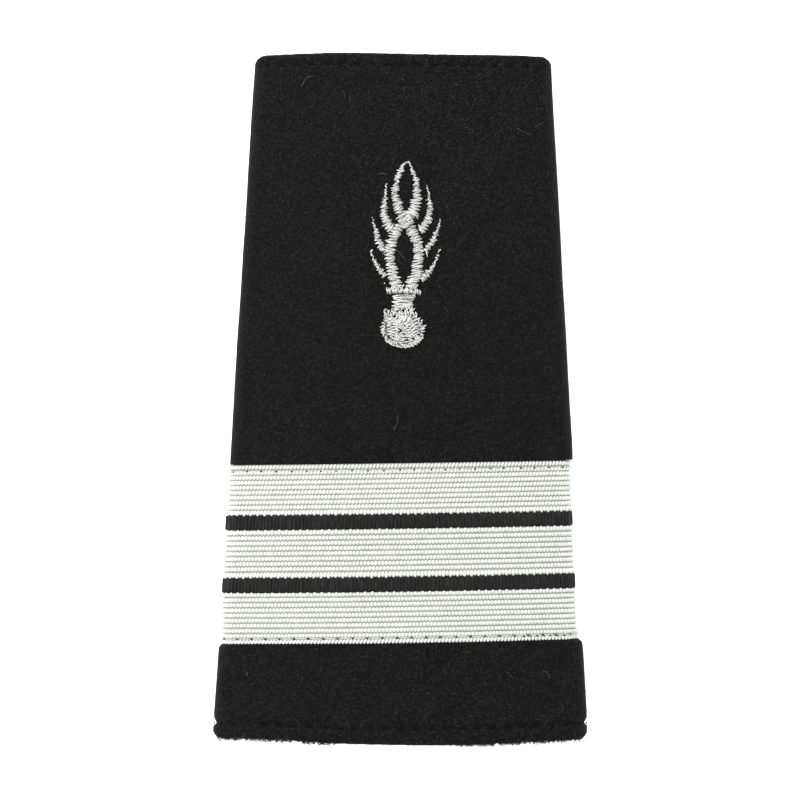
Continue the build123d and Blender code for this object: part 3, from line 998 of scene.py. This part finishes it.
# a loose loop of thread round a place
def curlLine(across, up, wide, tall, turns, lift, arch):
    return onCloth(across + wide * np.cos(turns), up + tall * np.sin(turns), lift + arch * np.sin(turns))


# height of a band of stitches, which is less where it is narrow and more where the bands cross
def bandHeight(height, wide, up, rise):
    lifted = rise * math.exp(-((up - motif["crossingUp"]) / motif["crossingHalf"]) ** 2)
    return (height + lifted) * min(1.0, motif["slender"] + wide)


def alongEdge(edge, run, place):
    return np.array([np.interp(place, run, edge[:, k]) for k in (0, 1)])


# satin stitch: one thread goes to and fro between two edges, so its turns make pointed teeth
def zigzag(left, right, height, bow=0.0, pitch=1.0, onBall=False, rise=0.0):
    left, right = np.array(left, dtype=float), np.array(right, dtype=float)
    middle = (left + right) / 2
    run = np.concatenate([[0], np.cumsum(np.hypot(*np.diff(middle, axis=0).T))])
    count = max(3, round(run[-1] / (motif["pitch"] * pitch) * 2))
    jitter = motif["placeJitter"] * (0.5 if onBall else 1.0)
    lines, before = [], None
    for number, place in enumerate(np.linspace(0, run[-1], count + 1)):
        place = np.clip(place + rng.normal(0, jitter), 0, run[-1])
        near, far = (left, right) if number % 2 else (right, left)
        here, across = alongEdge(near, run, place), alongEdge(far, run, place)
        wide = max(1e-3, np.hypot(*(here - across)))
        reach = rng.normal(0, motif["edgeJitter"]) - min(motif["edgeInset"], wide / 4)
        reach += (rng.random() < motif["strayShare"]) * motif["strayReach"]
        here = here + (here - across) / wide * reach
        if before is not None and (wide > motif["narrow"] or number % 2):
            if onBall:
                top = height + rng.uniform(*motif["ballSpread"])
            else:
                top = bandHeight(height, wide, (here[1] + before[1]) / 2, rise)
                top *= rng.uniform(*motif["heightSpread"])
            lines.append(stitchLine(before, here, top, bow + rng.normal(0, motif["bowJitter"]), onBall))
        before = here
    return lines


def threadPiece(name, lines, material):
    edges, first = [], 0
    for line in lines:
        edges += [(first + k, first + k + 1) for k in range(len(line) - 1)]
        first += len(line)
    guide = meshFrom(name, np.concatenate(lines), [], edges)
    return growPiece(name, guide, threads, {
        "Step": motif["threadStep"] * metre, "Width": motif["threadWidth"] * metre,
        "Flatness": motif["threadFlat"], "Twist length": motif["twistLength"] * metre, "Sides": 6,
        "Material": material})


# closed padding under the stitches, from rows of left and right edges
def padMesh(left, right, height, rise=0.0):
    rings = []
    for a, b in zip(np.array(left), np.array(right)):
        wide = np.hypot(*(b - a))
        middle, half = (a + b) / 2, (b - a) / 2 * max(0.15, 1 - 2 * motif["padInset"] / max(wide, 0.2))
        top = bandHeight(height, wide, middle[1], rise)
        ring = [onCloth(*(middle + half * s), motif["root"] + top * (1 - abs(s) ** motif["arch"]))
                for s in motif["padAcross"]]
        ring += [onCloth(*(middle + half * s), motif["padFoot"]) for s in (0.6, -0.6)]
        rings.append(np.array(ring))
    return ringMesh("pad", rings)


def finishStitches(node, lines, pads, under=()):
    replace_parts(threadPiece(node + "_stitches", lines, satinThread), node)
    if under:
        threadPiece(node + "_under_stitches", under, satinShade)
    for number, mesh in enumerate(pads):
        settle(newPiece(f"{node}_underlay_{number}", mesh, satinPad))


tallFlame = {
    "underInset": 0.09,
    "padShare": 0.5,
    "padRiseShare": 0.8,
    "arcs": [(0.3, 20.85, 1.9, 19.65), (0.75, 20.2, 1.75, 19.3)],  # beside the crossing
    "arcHeight": 0.66,
    "arcBow": 0.22,
    # long threads towards the side flames
    "links": [(1.85, 18.45, 2.55, 17.15), (2.05, 18.4, 2.75, 17.25), (-1.75, 18.55, -2.65, 17.5),
              (3.0, 14.75, 3.3, 13.75), (-2.1, 18.65, -2.8, 17.75)],
    "linkHeight": 0.42,
    "linkBow": 0.05,
    # short stitches tie each foot to the collar: from, to and count across, then how high they run
    "ties": [(-1.85, -0.3, 8), (0.8, 1.75, 5)],
    "tieLean": (0.12, 0.1),
    "tieFoot": (8.8, 0.06),
    "tieTop": (9.55, 0.08),
    "tieHeight": 0.52,
}


def makeTallFlame():
    lines, under, pads = [], [], []
    for name, rows in tallBands.items():
        rise = motif["crossingRise"] if name == "over" else 0.0
        left, right = np.array(rows)[:, :2], np.array(rows)[:, 2:]
        lines += zigzag(left, right, motif["height"], rise=rise)
        inner = (right - left) * tallFlame["underInset"]
        under += zigzag(right - inner, left + inner, motif["height"] * motif["underHeight"], rise=rise)
        padHeight = motif["height"] * tallFlame["padShare"]
        pads.append(padMesh(left[2:], right[2:], padHeight, rise * tallFlame["padRiseShare"]))
    lines += stitchRows(tallFlame["arcs"], tallFlame["arcHeight"], tallFlame["arcBow"])
    lines += stitchRows(tallFlame["links"], tallFlame["linkHeight"], tallFlame["linkBow"])
    for row in tallFlame["ties"]:
        for x in np.linspace(*row):
            lean, foot, top = [rng.normal(*tallFlame[key]) for key in ("tieLean", "tieFoot", "tieTop")]
            lines.append(stitchLine((x - lean, foot), (x + lean, top), tallFlame["tieHeight"]))
    finishStitches("flame_centre", lines, pads, under)


def makeSideFlame(name, rows):
    rows = np.array(rows)
    run = np.gradient(rows[:, :2], axis=0)
    out = np.stack([-run[:, 1], run[:, 0]], -1) / np.hypot(*run.T)[:, None] * rows[:, 2:] / 2
    left, right = rows[:, :2] - out, rows[:, :2] + out
    height = motif["height"] * motif["sideShare"]
    lines = zigzag(left, right, height)
    inner = out[2:] * 0.1
    under = zigzag(right[2:] - inner, left[2:] + inner, height * motif["underHeight"])
    finishStitches(f"flame_{name}", lines, [padMesh(left[2:], right[2:], height / 2)], under)


ball = {
    "centre": (-0.1, 2.87),
    "half": (3.36, 2.74),
    "lift": (0.2, 0.46),  # of its padding at the rim, and so much more in the middle
    # long threads run from the upper left to the lower right, with fields of stitches to both sides
    "seam": ((-2.05, 4.7), (1.5, 1.7), 10),
    "seamThread": (-2.05, 4.75, 1.42, 1.78),
    "seamAside": (-0.16, 0.0, 0.16),
    "rightRim": (0.66, -0.22, 0.82),  # turns between which a field meets the rim, and how far out
    "leftRim": (0.8, 1.22, 0.74),
    "fieldSplit": 0.48,  # the right field is two rows of stitches, which meet here and overlap
    "rightOverlap": (0.1, 0.06),
    "leftOverlap": (0.08, 0.02),
    "leftSeam": [(-1.6, 4.3), (-1.1, 3.85), (-0.65, 3.5), (-0.35, 3.15), (-0.5, 2.6), (-0.9, 2.0),
                 (-1.3, 1.45)],
    "leftLeg": [(-0.3, 2.5), (-0.8, 2.0), (-1.2, 1.45), (-1.3, 1.05)],
    "rightLeg": [(0.05, 2.45), (0.65, 2.1), (1.25, 1.65), (1.75, 1.25)],
    "spurLeft": [(1.35, 1.75), (1.85, 1.3), (1.6, 0.95)],
    "spurRight": [(2.1, 1.95), (2.3, 1.45), (2.05, 1.05)],
    # an arch over the bottom field, long threads above the seam, and the upper left shoulder
    "arch": [(-1.15, 1.45, -0.16, 2.48), (-0.16, 2.48, 1.18, 1.8), (-1.0, 1.25, -0.05, 2.2)],
    "above": [(0.35, 3.35, 2.1, 4.55), (0.1, 3.75, 1.55, 4.85), (-0.6, 4.35, 0.75, 5.05)],
    "shoulder": [(-2.95, 4.75, -2.45, 5.25), (-2.75, 4.6, -2.3, 5.15), (-2.85, 5.05, -2.6, 5.9),
                 (-2.5, 4.55, -2.05, 5.0), (-2.3, 5.0, -2.2, 5.75), (-2.9, 4.4, -2.35, 4.7)],
    "loops": [(-2.7, 5.55, 0.32), (-1.76, 5.27, 0.3), (-2.25, 5.5, 0.2)],  # across, up and radius
    "rim": (0.76, 2.32, 62),  # turns between which short stitches go round the rim
    "rimInner": 0.7,
    "rimHeight": 0.46,
    "rimThreads": [(1.24, 1.34), (0.98, 1.12)],  # turns between which a thread lies along the rim
    "rimChain": (1.2, 1.86, 0.052),
    "chainLength": 0.075,
    "padRings": [(0.95, -0.08), (0.93, 0.02), (0.86, 0.18), (0.66, 0.36), (0.36, 0.52), (0.12, 0.57)],
    "padColumns": 40,
    "holeGrow": 0.16,
    "holeRimLift": 0.58,
    "holeHeight": 0.12,
    # where the needle left open gaps between the threads: across, up, length and width
    "holes": [
        (-2.66, 3.82, 0.43, 0.24), (-2.66, 3.42, 0.38, 0.2), (-2.64, 3.02, 0.33, 0.28),
        (-2.64, 2.61, 0.43, 0.25), (-2.67, 2.17, 0.4, 0.21), (-2.17, 1.76, 0.38, 0.28),
        (2.43, 3.22, 0.38, 0.2), (2.49, 2.61, 0.3, 0.22), (2.33, 2.15, 0.58, 0.24),
        (2.93, 2.43, 0.25, 0.31), (2.4, 4.15, 0.38, 0.22), (1.38, 4.52, 0.33, 0.24),
        (0.15, 3.51, 0.28, 0.24), (0.76, 3.43, 0.3, 0.21), (-0.41, 2.76, 0.38, 0.28),
        (0.15, 2.34, 0.28, 0.22), (1.49, 1.6, 0.38, 0.24), (-1.42, 4.85, 0.62, 0.28),
        (0.48, 1.42, 0.55, 0.18), (-0.6, 0.66, 0.45, 0.2), (-2.6, 5.66, 0.28, 0.36)],
}


# height of the padded ball above the cloth
def ballLift(across, up):
    (x, y), (wide, tall), (low, more) = ball["centre"], ball["half"], ball["lift"]
    share = np.hypot((across - x) / wide, (up - y) / tall)
    return low + more * np.clip(1 - share**2.2, 0, 1)


# a place on the ball: half turns from its right, and share of the way out from its middle
def ballPoint(turn, share):
    (x, y), (wide, tall) = ball["centre"], ball["half"]
    angle = np.asarray(turn) * math.pi
    return np.stack([x + wide * share * np.cos(angle), y + tall * share * np.sin(angle)], axis=-1)


def ballFields():
    seam, leftSeam = np.linspace(*ball["seam"]), np.array(ball["leftSeam"])
    rim, leftRim = [ballPoint(np.linspace(start, end, len(other)), out) for other, (start, end, out) in (
        (seam, ball["rightRim"]), (leftSeam, ball["leftRim"]))]
    halfway = seam * ball["fieldSplit"] + rim * (1 - ball["fieldSplit"])
    between = (leftRim + leftSeam) / 2
    overlap, leftOverlap = ball["rightOverlap"], ball["leftOverlap"]
    lines = []
    for left, right, height, bow, pitch in (
            (seam, halfway + overlap, 0.04, 0.02, 1.05),
            (halfway - overlap, rim, 0.0, 0.02, 1.05),
            (leftRim, between + leftOverlap, 0.01, 0.02, 1.05),
            (between - leftOverlap, leftSeam, 0.03, 0.02, 1.05),
            (ball["leftLeg"], ball["rightLeg"], 0.02, 0.14, 1.0),
            (ball["spurLeft"], ball["spurRight"], 0.0, 0.0, 1.0)):
        lines += zigzag(left, right, height, bow, pitch, True)
    return lines


# short stitches round the rim, open at the neck, and a chain that fills the lower rim between them
def ballRim():
    turns = np.linspace(*ball["rim"])
    facing = np.cos(turns * math.pi)
    skew = (0.04 + 0.24 * np.clip(-facing, 0, 1) + 0.12 * np.clip(facing, 0, 1)) / math.pi
    bulge = 1.0 + 0.05 * np.exp(-((turns - 2.3) / 0.1) ** 2)
    lines = zigzag(ballPoint(turns, bulge), ballPoint(turns - skew, ball["rimInner"]), ball["rimHeight"])
    for start, end in ball["rimThreads"]:
        lines.append(onCloth(*ballPoint(np.linspace(start, end, 14), 0.9).T, ball["rimHeight"]))
    for start in np.arange(*ball["rimChain"]):
        share = 0.95 + rng.normal(0, 0.012)
        end = ballPoint(start + ball["chainLength"], share - 0.02)
        lines.append(stitchLine(ballPoint(start, share), end, 0.42, -0.05))
    return lines


def makeBallHoles():
    across, up, long, wide = np.array(ball["holes"]).T
    spots = onCloth(across, up, np.maximum(ballLift(across, up), ball["holeRimLift"]) + ball["holeGrow"])
    sizes = np.stack([long, wide, np.full(len(long), ball["holeHeight"])], axis=-1)
    guide = pillowGuide([(spots, (0, 0, 1), (0, 1, 0), sizes)])
    growPiece("grenade_ball_needle_holes", guide, pillows, {
        "Sides": 10, "Rings": 5, "Turn": 0.25, "Size spread": 0.2, "Seed": 33, "Material": holeShade})


def makeBall():
    lines = ballFields()
    seamRow = np.array(ball["seamThread"])
    lines += stitchRows([seamRow + aside for aside in ball["seamAside"]], 0.2, 0.03, True, 15)
    lines += stitchRows(ball["arch"], 0.14, 0.1, True, 13)
    lines += stitchRows(ball["above"], 0.1, 0.02, True, 13)
    lines += ballRim()
    for across, up, radius in ball["loops"]:
        lines.append(curlLine(across, up, radius * 0.7, radius, np.linspace(0.2, 5.4, 14), 0.36, 0.05))
    lines += stitchRows(ball["shoulder"], 0.44, 0.04)
    makeBallHoles()
    turns = np.arange(ball["padColumns"]) * 2 / ball["padColumns"]
    pad = ringMesh("pad", [onCloth(*ballPoint(turns, share).T, lift) for share, lift in ball["padRings"]])
    finishStitches("grenade_ball", lines, [pad])


neck = {
    "left": [(-1.8, 7.9), (-1.75, 7.5), (-1.58, 6.95), (-1.52, 6.45), (-1.7, 6.05)],
    "right": [(1.52, 7.95), (1.52, 7.5), (1.45, 7.0), (1.28, 6.5), (1.4, 6.05)],
    "height": 0.44,
    "underHeight": 0.38,
    "bow": 0.15,
    "pitch": 0.8,
    "padHeight": 0.26,
    "foot": (-1.85, 1.55, 8),  # two rows of slanting stitches lead from it into the ball
    "footTop": (0.14, 6.3, -0.04),  # aside, up and curve of the first row's ends
    "footEnd": (-0.1, 5.62, -0.03),
    "footHeight": 0.5,
    "lowerTop": (1.08, 0.62),  # the second row is so much wider and lower
    "lowerEnd": (1.12, 0.6),
    "lowerHeight": 0.12,
}


def curvedRow(edge, aside, up, curve):
    return np.stack([edge + aside, up + curve * edge**2], -1)


def makeNeck():
    left, right = np.array(neck["left"]), np.array(neck["right"])
    lines = zigzag(left, right, neck["height"], -neck["bow"], neck["pitch"])
    inner = (0.05, 0)
    under = zigzag(right - inner, left + inner, neck["underHeight"], neck["bow"], neck["pitch"])
    edge = np.linspace(*neck["foot"])
    top, foot = curvedRow(edge, *neck["footTop"]), curvedRow(edge, *neck["footEnd"])
    lines += zigzag(foot, top, neck["footHeight"])
    top, foot = [row * (wider, 1) - (0.0, lower) for row, (wider, lower) in (
        (top, neck["lowerTop"]), (foot, neck["lowerEnd"]))]
    lines += zigzag(foot, top, neck["lowerHeight"], onBall=True)
    finishStitches("grenade_neck", lines, [padMesh(left, right, neck["padHeight"])], under)


collar = {
    "top": (2.58, -0.1, 9.05, -0.12),  # half its width, aside, up and slant
    "foot": (2.52, -0.08, 8.08, 0.0),
    "notch": 0.22,
    "height": 0.5,
    "underHeight": 0.4,
    "pitch": 0.85,
    "padHeight": 0.3,
    "curl": (1.38, 7.8, 0.26, 0.16),  # across, up, and half its width and height
    "knot": (-2.95, 9.65, 0.06),  # a stray knot on the cloth
}


def makeCollar():
    edge = np.linspace(-1, 1, 9)
    top, foot = [np.stack([half * edge + aside, up + slant * edge], -1)
                 for half, aside, up, slant in (collar["top"], collar["foot"])]
    foot[:, 1] += collar["notch"] * np.exp(-((edge + 0.04) / 0.14) ** 2)
    lines = zigzag(foot, top, collar["height"], pitch=collar["pitch"])
    under = zigzag(top * (0.97, 1), foot * (0.97, 1), collar["underHeight"], pitch=collar["pitch"])
    lines.append(curlLine(*collar["curl"], np.linspace(-0.6, 5.0, 11), 0.5, 0.04))
    across, up, radius = collar["knot"]
    turns = np.linspace(0, 2.4 * math.pi, 12)
    lines.append(onCloth(across + radius * np.cos(turns), up + radius * np.sin(turns), 0.05 + 0.012 * turns))
    finishStitches("grenade_collar", lines, [padMesh(top, foot, collar["padHeight"])], under)


makeTallFlame()
for name, rows in sideFlames.items():
    makeSideFlame(name, rows)
makeBall()
makeNeck()
makeCollar()


# a copy of the felt skin that says where fibres grow
def fuzzGuide(name, amount):
    mesh = feltMesh.copy()
    mesh.name = name
    places, normals = np.zeros((2, len(mesh.vertices) * 3), dtype=np.float32)
    mesh.vertices.foreach_get("co", places)
    mesh.vertices.foreach_get("normal", normals)
    attribute(mesh, "fuzz", amount(places.reshape(-1, 3) / metre, normals.reshape(-1, 3)), "FLOAT")
    return mesh


def onFront(place, normal):
    clear = (place[:, 1] < bandLowY - 0.5) | (place[:, 1] > bandHighY + 0.7)
    outside = place[:, 2] > 2.6
    patches = np.array([0.85 + 0.3 * noise.noise(Vector(p) / 7.0) for p in place])
    # fewest in the middle of the front, most by the neck
    high = np.interp(place[:, 1], [hemY, bandHighY, -5, 5, 20, neckY], [0.8, 0.8, 0.25, 0.15, 0.9, 2.0])
    return np.clip(normal[:, 2] * 1.5, 0, 1) * clear * outside * patches * high


# the cut faces at both ends, above the sole
def cutFace(place, normal):
    return (np.abs(normal[:, 1]) > 0.3) & (place[:, 2] > 2.0)


def atHem(place, normal):
    tufts = np.array([np.clip(0.9 + 2.6 * noise.noise(Vector(p) * 1.1), 0.1, 2.2) for p in place])
    frayed = np.interp(place[:, 0], *felt["frayed"]) * tufts + 0.04
    return (place[:, 1] < hemY + 1.3) * cutFace(place, normal) * frayed


def atNeck(place, normal):
    return (place[:, 1] > neckY - 1.0) * cutFace(place, normal)


# what each kind of fibre gives the tree: lengths in millimetres, and fibres on a square millimetre
fuzz = {
    "felt_short_fibres": (onFront, woolFuzz, {
        "Density": 3.25, "Length": 0.43, "Radius": 0.013, "Points": 2, "Lift": 0.14, "Rise": 0.05,
        "Lay": 2.1, "Lay spread": 0.8, "Curl": 0.04, "Seed": 3}),
    "felt_long_lint": (onFront, paleLint, {
        "Density": 0.009, "Length": 2.0, "Radius": 0.017, "Points": 12, "Lift": 0.1, "Rise": 0.02,
        "Lay": 0.0, "Lay spread": 3.1, "Curl": 2.4, "Seed": 4}),
    "hem_raw_edge_fibres": (atHem, edgeFuzz, {
        "Density": 16.0, "Length": 0.34, "Radius": 0.045, "Points": 4, "Lift": 0.5, "Rise": 0.85,
        "Lay": 0.0, "Lay spread": 3.1, "Curl": 0.2, "Seed": 5}),
    "neck_raw_edge_fibres": (atNeck, woolFuzz, {
        "Density": 3.2, "Length": 0.17, "Radius": 0.013, "Points": 5, "Lift": 0.3, "Rise": 0.3,
        "Lay": 0.0, "Lay spread": 3.1, "Curl": 0.2, "Seed": 6}),
}
for name, (where, material, settings) in fuzz.items():
    inputs = dict(settings, Density=settings["Density"] / metre**2, Material=material)
    for key in ("Length", "Radius", "Curl"):
        inputs[key] = settings[key] * metre
    inputs["Length spread"] = 0.5
    inputs["Curl size"] = inputs["Length"] * 0.8
    growPiece(name, fuzzGuide(name, where), fibres, inputs)


room = {
    "floorHalf": 700,
    "floorZ": -0.05,
    "floorGlow": 0.95,
    "worldGlow": 0.7,
    "lightPlace": (-360, 400, 720),
    "lightSize": 550,
    "lightPower": 5.6,
}


def makeFloor():
    corners = [(room["floorHalf"] * x, room["floorHalf"] * y, room["floorZ"])
               for x, y in ((-1, -1), (1, -1), (1, 1), (-1, 1))]
    material, tree = startMaterial("white acrylic sheet")
    endMaterial(tree, {
        "Base Color": (0.95, 0.95, 0.95, 1), "Roughness": 0.8, "Specular IOR Level": 0.1,
        "Emission Color": (1, 1, 1, 1), "Emission Strength": room["floorGlow"]})
    newPiece("floor", meshFrom("floor", corners, [(0, 1, 2, 3)]), material)


def makeWorld():
    world = bpy.data.worlds.new("soft white room")
    world.use_nodes = True
    sky = world.node_tree.nodes["Background"].inputs
    sky["Color"].default_value = (1, 1, 1, 1)
    sky["Strength"].default_value = room["worldGlow"]
    bpy.context.scene.world = world


def makeLight():
    data = bpy.data.lights.new("key", "AREA")
    data.shape, data.size, data.energy = "DISK", room["lightSize"] * metre, room["lightPower"]
    lamp = bpy.data.objects.new("key", data)
    lamp.location = Vector(room["lightPlace"]) * metre
    lamp.rotation_euler = (-lamp.location).to_track_quat("-Z", "Y").to_euler()
    bpy.context.scene.collection.objects.link(lamp)


camera = {
    "height": 800.0,
    "focal": 240.85,
    "sensor": 36.0,
    "pixelsAcross": 800,
    "centre": (401.7, 398.6),  # the picture's pixel over the sleeve's middle
    "lean": math.radians(0.21),
}


def makeCamera():
    data = bpy.data.cameras.new("camera")
    data.lens, data.sensor_width = camera["focal"], camera["sensor"]
    data.clip_start, data.clip_end = 0.05, 5
    pixel = camera["height"] * camera["sensor"] / camera["focal"] / camera["pixelsAcross"]
    right = (camera["pixelsAcross"] / 2 - camera["centre"][0]) * pixel
    up = (camera["centre"][1] - camera["pixelsAcross"] / 2) * pixel
    lean = camera["lean"]
    viewer = bpy.data.objects.new("camera", data)
    viewer.location = Vector((right * math.cos(lean) - up * math.sin(lean),
                              right * math.sin(lean) + up * math.cos(lean), camera["height"])) * metre
    viewer.rotation_euler = (0, 0, lean)
    bpy.context.scene.collection.objects.link(viewer)
    bpy.context.scene.camera = viewer


makeFloor()
makeWorld()
makeLight()
makeCamera()
bpy.context.scene.view_settings.view_transform = "Standard"
print("scene ready")
